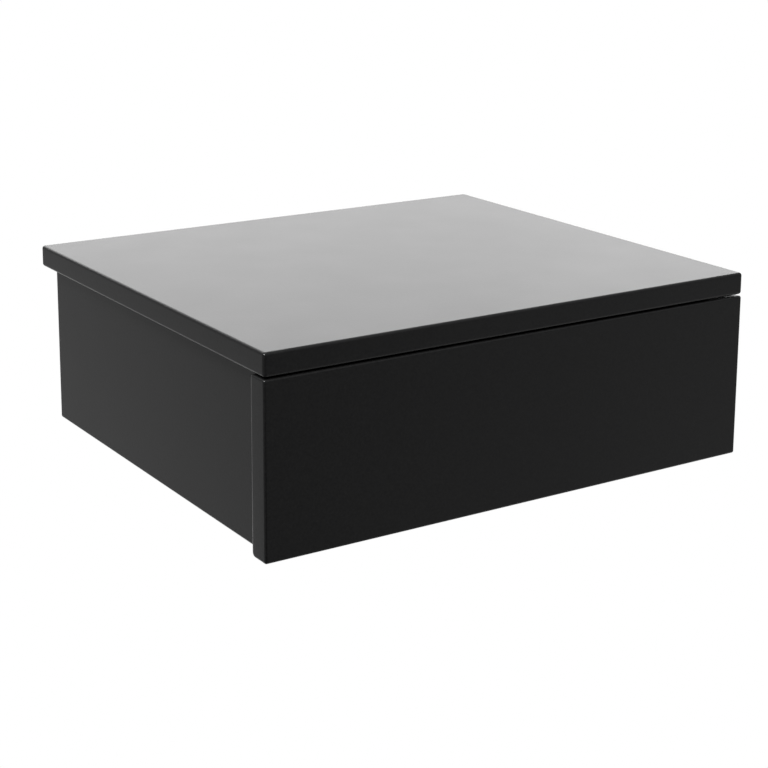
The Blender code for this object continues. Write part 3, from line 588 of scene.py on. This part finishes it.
def screw_mesh(node, along, head, shank_radius):
    """A countersunk screw with a cross recess, its length and head radius from the node's box."""
    length = extent(node, along)
    radius = extent(node, Z_AXIS) / 2
    ridges = thread(head + SCREW_NECK, length - SCREW_THREAD_END, shank_radius,
                    shank_radius * SCREW_ROOT_SHARE, SCREW_PITCH)
    blank = turned([
        (0.0, radius - SCREW_RIM), (SCREW_RIM, radius),
        (head * SCREW_RIM_SHARE, radius), (head, shank_radius),
        *ridges,
        (length - SCREW_TAPER, shank_radius * SCREW_TAPER_SHARE), (length, shank_radius * SCREW_POINT_SHARE),
    ])
    recess = cross_recess(radius * SCREW_RECESS_SPAN, radius * SCREW_RECESS_WING, head * SCREW_RECESS_DEPTH)
    return cut(blank, recess)


def make_screws():
    """Each kind shares one mesh, and each screw has stopped at a turn of its own."""
    turn = 0
    for first, second, along, head, shank_radius in SCREW_KINDS:
        mesh = screw_mesh(first.format(side="left"), along, head, shank_radius)
        for side_name, side in SIDES.items():
            direction = along if along.x == 0 else along * side
            for name in (first, second):
                node = name.format(side=side_name)
                turn += SCREW_TURN_STEP
                spin = Matrix.Rotation(math.radians(turn), 4, "Z")
                place_piece(node, mesh, placing(node, direction, Z_AXIS) @ spin)


# Cam joints, dowels and bumpers

CAM_SIDES = 40
CAM_DISH = 0.0004
CAM_FACE_RIM = 0.0018
CAM_FACE_FLAT = 0.0014
CAM_STEP = 0.0004
CAM_CHAMFER = 0.0003
CAM_WAIST = (0.30, 0.85)
CAM_SOFT_EDGE = 0.0001
CAM_THROAT_RADIUS = 0.0033
CAM_THROAT_PAST = 0.0032
CAM_ARROW = ((0.0038, -0.0009), (0.0052, 0.0), (0.0038, 0.0009))
CAM_RECESS_SPAN = 0.0068
CAM_RECESS_WING = 0.0017
CAM_RECESS_DEPTH = 0.0024
CABINET_BOLT_DEPTH = 0.0074
DRAWER_BOLT_DEPTH = 0.0049
HOLE_STEPS = 23
HOLE_END_ANGLE = 345

BOLT_SHANK_RADIUS = 0.0021
BOLT_PITCH = 0.0016
BOLT_THREAD = (0.0006, 0.0080)
BOLT_COLLAR = (0.0082, 0.0090)
BOLT_COLLAR_END = 0.0092
BOLT_POINT_SHARE = 0.5
BOLT_HEAD_LENGTH = 0.0030
BOLT_NECK_END = 0.0008
BOLT_NECK_SHARE = 0.85
BOLT_HEAD = (0.0016, 0.0026)
BOLT_HEAD_RIM_SHARE = 0.8

DOWEL_FLUTES = 20
DOWEL_CHAMFER = 0.0008
DOWEL_FLUTE_SHARE = 0.93

BUMPER_RIM = 0.0005
BUMPER_STEPS = 8
BUMPER_DOME_ANGLE = math.pi / 2 * 0.9


def round_outline(radius):
    """Points all round a hole about its middle."""
    return arc((0.0, 0.0), radius, 0, HOLE_END_ANGLE, HOLE_STEPS)


def cam_mesh(node, inward, bolt_depth):
    """A cam lock's drum: dished face with a cross recess and an arrow to its bolt, and the bolt's throat."""
    depth = extent(node, inward)
    radius = extent(node, Z_AXIS if inward.z == 0 else X_AXIS) / 2
    waist_radius = radius - CAM_STEP
    waist_start, waist_end = (depth * share for share in CAM_WAIST)
    drum = turned([
        (CAM_DISH, radius - CAM_FACE_RIM), (0.0, radius - CAM_FACE_FLAT), (0.0, waist_radius),
        (CAM_STEP, radius),
        (waist_start, radius), (waist_start + CAM_CHAMFER, waist_radius),
        (waist_end, waist_radius), (waist_end + CAM_CHAMFER, radius),
        (depth - CAM_CHAMFER, radius), (depth, radius - CAM_CHAMFER),
    ], CAM_SIDES)
    throat = extruded(round_outline(CAM_THROAT_RADIUS), -CAM_THROAT_PAST, radius + OVERRUN)
    throat = moved(throat, Matrix.Translation((0.0, 0.0, bolt_depth)) @ Matrix.Rotation(math.pi / 2, 4, "Y"))
    arrow = extruded(CAM_ARROW, -OVERRUN, CAM_DISH + CAM_CHAMFER)
    recess = cross_recess(CAM_RECESS_SPAN, CAM_RECESS_WING, CAM_RECESS_DEPTH)
    return cut(drum, [throat, arrow, *recess], CAM_SOFT_EDGE)


def bolt_mesh(node, pull):
    """The bolt of a cam lock: coarse thread, collar, shank, and a head with a neck."""
    length = extent(node, pull)
    radius = extent(node, Z_AXIS if pull.z == 0 else X_AXIS) / 2
    shank = BOLT_SHANK_RADIUS
    thread_start, thread_end = BOLT_THREAD
    collar_start, collar_end = BOLT_COLLAR
    neck = length - BOLT_HEAD_LENGTH
    head_start, head_end = (neck + height for height in BOLT_HEAD)
    blank = turned([
        (0.0, radius * BOLT_POINT_SHARE), *thread(thread_start, thread_end, radius, shank, BOLT_PITCH),
        (thread_end, shank), (collar_start, radius), (collar_end, radius), (BOLT_COLLAR_END, shank),
        (neck, shank), (neck + BOLT_NECK_END, shank * BOLT_NECK_SHARE),
        (head_start, radius), (head_end, radius), (length, radius * BOLT_HEAD_RIM_SHARE),
    ])
    return cut(blank, [])


def make_cam_joints():
    """A cam and a bolt for each board joint that they pull together."""
    for side_name, side in SIDES.items():
        sideways = X_AXIS * side
        # (name, direction of the bolt to its cam, direction into the cam's board, bolt's depth in that board)
        joints = (
            (f"{side_name}_front_top", -Z_AXIS, sideways, CABINET_BOLT_DEPTH),
            (f"{side_name}_rear_top", -Z_AXIS, sideways, CABINET_BOLT_DEPTH),
            (f"{side_name}_back", -sideways, Y_AXIS, CABINET_BOLT_DEPTH),
            (f"{side_name}_front", Y_AXIS, sideways, DRAWER_BOLT_DEPTH),
        )
        for name, pull, inward, bolt_depth in joints:
            cam = name + "_cam"
            bolt = name + "_cam_bolt"
            place_piece(cam, cam_mesh(cam, inward, bolt_depth), placing(cam, inward, -pull))
            place_piece(bolt, bolt_mesh(bolt, pull), placing(bolt, pull, inward))


def make_dowels():
    """Beech dowels with pressed flutes and chamfered ends."""
    for side_name, side in SIDES.items():
        node = side_name + "_back_dowel"
        along = -X_AXIS * side
        length = extent(node, along)
        radius = extent(node, Z_AXIS) / 2
        shape = turned([
            (0.0, radius - DOWEL_CHAMFER), (DOWEL_CHAMFER, radius),
            (length - DOWEL_CHAMFER, radius), (length, radius - DOWEL_CHAMFER),
        ], 2 * DOWEL_FLUTES)
        for vert in shape.verts:
            angle = math.atan2(vert.co.y, vert.co.x)
            if math.cos(DOWEL_FLUTES * angle) < 0:
                vert.co.xy *= DOWEL_FLUTE_SHARE
        place_piece(node, cut(shape, []), placing(node, along, Z_AXIS))


def make_bumpers():
    """Self-adhesive rubber domes that the drawer front closes against."""
    for side_name in SIDES:
        node = side_name + "_bumper"
        radius = extent(node, Z_AXIS) / 2
        rise = (extent(node, Y_AXIS) - BUMPER_RIM) / math.sin(BUMPER_DOME_ANGLE)
        profile = [(0.0, radius), (BUMPER_RIM, radius)]
        for index in range(1, BUMPER_STEPS + 1):
            angle = BUMPER_DOME_ANGLE * index / BUMPER_STEPS
            profile.append((BUMPER_RIM + rise * math.sin(angle), radius * math.cos(angle)))
        place_piece(node, cut(turned(profile), []), placing(node, -Y_AXIS, Z_AXIS))


# Keyhole hangers

KEYHOLE_RADIUS = 0.0048
KEYHOLE_SLOT_HALF_WIDTH = 0.0024
KEYHOLE_DROP = 0.005
KEYHOLE_RISE = 0.009
KEYHOLE_ENTRY_STEPS = 32
KEYHOLE_SLOT_STEPS = 12
HANGER_CORNER_RADIUS = 0.003
HANGER_SCREW_OFFSET = 0.018
HANGER_SOFT_EDGE = 0.00015
COUNTERSINK_RADIUS = 0.0041
COUNTERSINK_HOLE_RADIUS = 0.0025


def keyhole():
    """One outline: a round entry below and a slot with a round end above it, with +Y up."""
    meet = math.degrees(math.asin(KEYHOLE_SLOT_HALF_WIDTH / KEYHOLE_RADIUS))
    entry = arc((0.0, -KEYHOLE_DROP), KEYHOLE_RADIUS, 90 + meet, 450 - meet, KEYHOLE_ENTRY_STEPS)
    return entry + arc((0.0, KEYHOLE_RISE), KEYHOLE_SLOT_HALF_WIDTH, 0, 180, KEYHOLE_SLOT_STEPS)


def make_hanger_plates():
    """Pressed plates with round corners, countersinks and a keyhole each, seen from behind the cabinet."""
    for side_name in SIDES:
        node = side_name + "_hanger_plate"
        sheet = extent(node, Y_AXIS)
        outline = rounded_rectangle(extent(node, X_AXIS), extent(node, Z_AXIS), HANGER_CORNER_RADIUS)
        plate = extruded(outline, 0.0, sheet)
        cutters = [extruded(keyhole(), -OVERRUN, sheet + OVERRUN)]
        for offset in (-HANGER_SCREW_OFFSET, HANGER_SCREW_OFFSET):
            cone = turned([(-OVERRUN, COUNTERSINK_RADIUS), (sheet + OVERRUN, COUNTERSINK_HOLE_RADIUS)])
            cutters.append(moved(cone, Matrix.Translation((offset, 0.0, 0.0))))
        place_piece(node, cut(plate, cutters, HANGER_SOFT_EDGE), placing(node, -Y_AXIS, X_AXIS))


# Runner parts

OUTER_BALL_REACH = 0.0045
INNER_BALL_REACH = 0.0039
BALL_RADIUS = 0.0014
BALL_PLAY = 0.0002
BALL_SEGMENTS = 20
BALL_RINGS = 12
BALLS_PER_ROW = 5
BALL_PITCH = 0.024
CAGE_SHEET = 0.0006
CAGE_BEND = 0.0010
CAGE_BEND_STEPS = 5
CAGE_WINDOW_LENGTH = 0.014
CAGE_WINDOW_SHARE = 1.1
CAGE_WINDOW_CORNER = 0.002
CAGE_WINDOW_CORNER_STEPS = 4
CAGE_WINDOW_DEPTH = 0.002

LEVER_HEAD_RADIUS = 0.0040
LEVER_HEAD_STEPS = 24
LEVER_TIP_RADIUS = 0.0020
LEVER_TIP_STEPS = 16
LEVER_THICKNESS = 0.0020
LEVER_SOFT_EDGE = 0.0001
LEVER_WEB = ((0.0070, -0.0022), (0.0370, -0.0012), (0.0370, 0.0012), (0.0070, 0.0022))
LEVER_WEB_DEPTH = 0.0007
LEVER_RIBS = 5
LEVER_RIB_PITCH = 0.0020
LEVER_RIBS_LENGTH = 0.0085
LEVER_RIB_HALF_HEIGHT = 0.006
LEVER_RIB_DEPTH = 0.0004
LEVER_SOCKET_SIDES = 6
LEVER_SOCKET_RADIUS = 0.0012
LEVER_SOCKET_FLOOR_RADIUS = 0.0010
LEVER_SOCKET_DEPTH = 0.0008
LEVER_PIN_RADIUS = 0.0015
LEVER_PIN_CHAMFER = 0.0002
LEVER_PIN_SINK = 0.00005


def mirrored(points):
    """The same points on the other side of the X axis, in reverse order."""
    return [(x, -y) for x, y in reversed(points)]


def along_row(count, length):
    """Places of evenly spaced balls, or of the windows between them, about the middle of a cage."""
    return [length / 2 + (index - (count - 1) / 2) * BALL_PITCH for index in range(count)]


def cage_outline(depth, outer):
    """A bent sheet with an arm each side, open at the mouth."""
    centre = (CAGE_BEND, outer - CAGE_BEND)
    outside = [(depth, outer), *arc(centre, CAGE_BEND, 90, 180, CAGE_BEND_STEPS)]
    inside = [*arc(centre, CAGE_BEND - CAGE_SHEET, 180, 90, CAGE_BEND_STEPS), (depth, outer - CAGE_SHEET)]
    return outside + mirrored(outside) + mirrored(inside) + inside


def make_cage(node, side, ball_reach):
    """A bent cage whose arms hold a row of balls each. +X runs from its web to its mouth, and +Z forward."""
    length = extent(node, Y_AXIS)
    row_lift = extent(node, Z_AXIS) / 2 - BALL_RADIUS
    outer = row_lift + CAGE_SHEET / 2
    sheet = extruded(cage_outline(extent(node, X_AXIS), outer), 0.0, length)
    upright = Matrix.Rotation(math.pi / 2, 4, "X")
    across = Matrix.Rotation(math.pi / 2, 4, "Y")
    ball_places = along_row(BALLS_PER_ROW, length)
    cutters = []
    for middle in ball_places:
        hole = extruded(round_outline(BALL_RADIUS + BALL_PLAY), -outer - OVERRUN, outer + OVERRUN)
        cutters.append(moved(hole, Matrix.Translation((ball_reach, 0.0, middle)) @ upright))
    for middle in along_row(BALLS_PER_ROW - 1, length):
        window = extruded(
            rounded_rectangle(CAGE_WINDOW_LENGTH, row_lift * CAGE_WINDOW_SHARE, CAGE_WINDOW_CORNER,
                              CAGE_WINDOW_CORNER_STEPS),
            -CAGE_WINDOW_DEPTH, CAGE_WINDOW_DEPTH)
        cutters.append(moved(window, Matrix.Translation((0.0, 0.0, middle)) @ across))
    whole = bmesh.new()
    add_mesh(whole, cut(sheet, cutters))
    for middle in ball_places:
        for row in (-1, 1):
            centre = Matrix.Translation((ball_reach, row * row_lift, middle))
            bmesh.ops.create_uvsphere(whole, u_segments=BALL_SEGMENTS, v_segments=BALL_RINGS,
                                      radius=BALL_RADIUS, matrix=centre)
    low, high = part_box(node)
    matrix = Matrix((-X_AXIS * side, Z_AXIS * side, Y_AXIS)).transposed().to_4x4()
    matrix.translation = (low.x if side < 0 else high.x, low.y, (low.z + high.z) / 2)
    place_piece(node, cut(whole, []), matrix)


def lever_blade(length):
    """The lever's flat blade, with a sunk web, grip ribs at its tip and a six-sided socket at its pivot."""
    outline = arc((0.0, 0.0), LEVER_HEAD_RADIUS, 90, 270, LEVER_HEAD_STEPS)
    outline += arc((length, 0.0), LEVER_TIP_RADIUS, -90, 90, LEVER_TIP_STEPS)
    cutters = [extruded(LEVER_WEB, -OVERRUN, LEVER_WEB_DEPTH)]
    for index in range(LEVER_RIBS):
        start = length - LEVER_RIBS_LENGTH + index * LEVER_RIB_PITCH
        end = start + LEVER_RIB_PITCH / 2
        groove = ((start, -LEVER_RIB_HALF_HEIGHT), (end, -LEVER_RIB_HALF_HEIGHT),
                  (end, LEVER_RIB_HALF_HEIGHT), (start, LEVER_RIB_HALF_HEIGHT))
        cutters.append(extruded(groove, -OVERRUN, LEVER_RIB_DEPTH))
    socket = ((-OVERRUN, LEVER_SOCKET_RADIUS), (LEVER_SOCKET_DEPTH, LEVER_SOCKET_FLOOR_RADIUS))
    cutters.append(turned(socket, LEVER_SOCKET_SIDES))
    return cut(extruded(outline, 0.0, LEVER_THICKNESS), cutters, LEVER_SOFT_EDGE)


def lever_pin(length):
    """The pin behind the blade, sunk a little into it."""
    pin = turned([
        (0.0, LEVER_PIN_RADIUS), (length - LEVER_PIN_CHAMFER, LEVER_PIN_RADIUS),
        (length, LEVER_PIN_RADIUS - LEVER_PIN_CHAMFER),
    ])
    return cut(moved(pin, Matrix.Translation((0.0, 0.0, LEVER_THICKNESS - LEVER_PIN_SINK))), [])


def make_lever(side_name, side):
    """A moulded release lever with its pin. +X runs from its pivot to its tip."""
    node = side_name + "_release_lever"
    low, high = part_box(node)
    whole = bmesh.new()
    add_mesh(whole, lever_blade(high.y - low.y - LEVER_HEAD_RADIUS - LEVER_TIP_RADIUS))
    add_mesh(whole, lever_pin(high.x - low.x - LEVER_THICKNESS))
    along = -X_AXIS * side
    matrix = Matrix((-Y_AXIS, along.cross(-Y_AXIS), along)).transposed().to_4x4()
    matrix.translation = (high.x if side > 0 else low.x, high.y - LEVER_HEAD_RADIUS, (low.z + high.z) / 2)
    place_piece(node, cut(whole, []), matrix)


def make_runner_parts():
    """Detailed cages and levers. The rails keep their CAD shape."""
    for side_name, side in SIDES.items():
        make_cage(side_name + "_outer_ball_cage", side, OUTER_BALL_REACH)
        make_cage(side_name + "_inner_ball_cage", side, INNER_BALL_REACH)
        make_lever(side_name, side)


# The stage

FLOOR_SIZE = 30.0
FLOOR_DROP = 0.45


def make_floor():
    """A pale floor far enough below the hanging cabinet to take no shadow."""
    shape = bmesh.new()
    bmesh.ops.create_grid(shape, x_segments=1, y_segments=1, size=FLOOR_SIZE / 2)
    mesh = bpy.data.meshes.new("floor")
    shape.to_mesh(mesh)
    shape.free()
    floor = bpy.data.objects.new("floor", mesh)
    bpy.context.scene.collection.objects.link(floor)
    floor.location = (0.0, 0.0, CAD_BOX[0].z - FLOOR_DROP)
    pale = bpy.data.materials.new("pale_floor")
    pale.use_nodes = True
    pale.node_tree.nodes.clear()
    glow = pale.node_tree.nodes.new("ShaderNodeEmission")
    glow.inputs["Color"].default_value = WHITE
    out = pale.node_tree.nodes.new("ShaderNodeOutputMaterial")
    pale.node_tree.links.new(glow.outputs[0], out.inputs["Surface"])
    mesh.materials.append(pale)
    floor.visible_glossy = False
    floor.visible_diffuse = False


bpy.context.scene.view_settings.view_transform = "Standard"
make_camera()
make_world()
for lamp in LAMPS:
    make_lamp(*lamp)
make_floor()
finish_cad_nodes()
make_screws()
make_cam_joints()
make_dowels()
make_bumpers()
make_hanger_plates()
make_runner_parts()
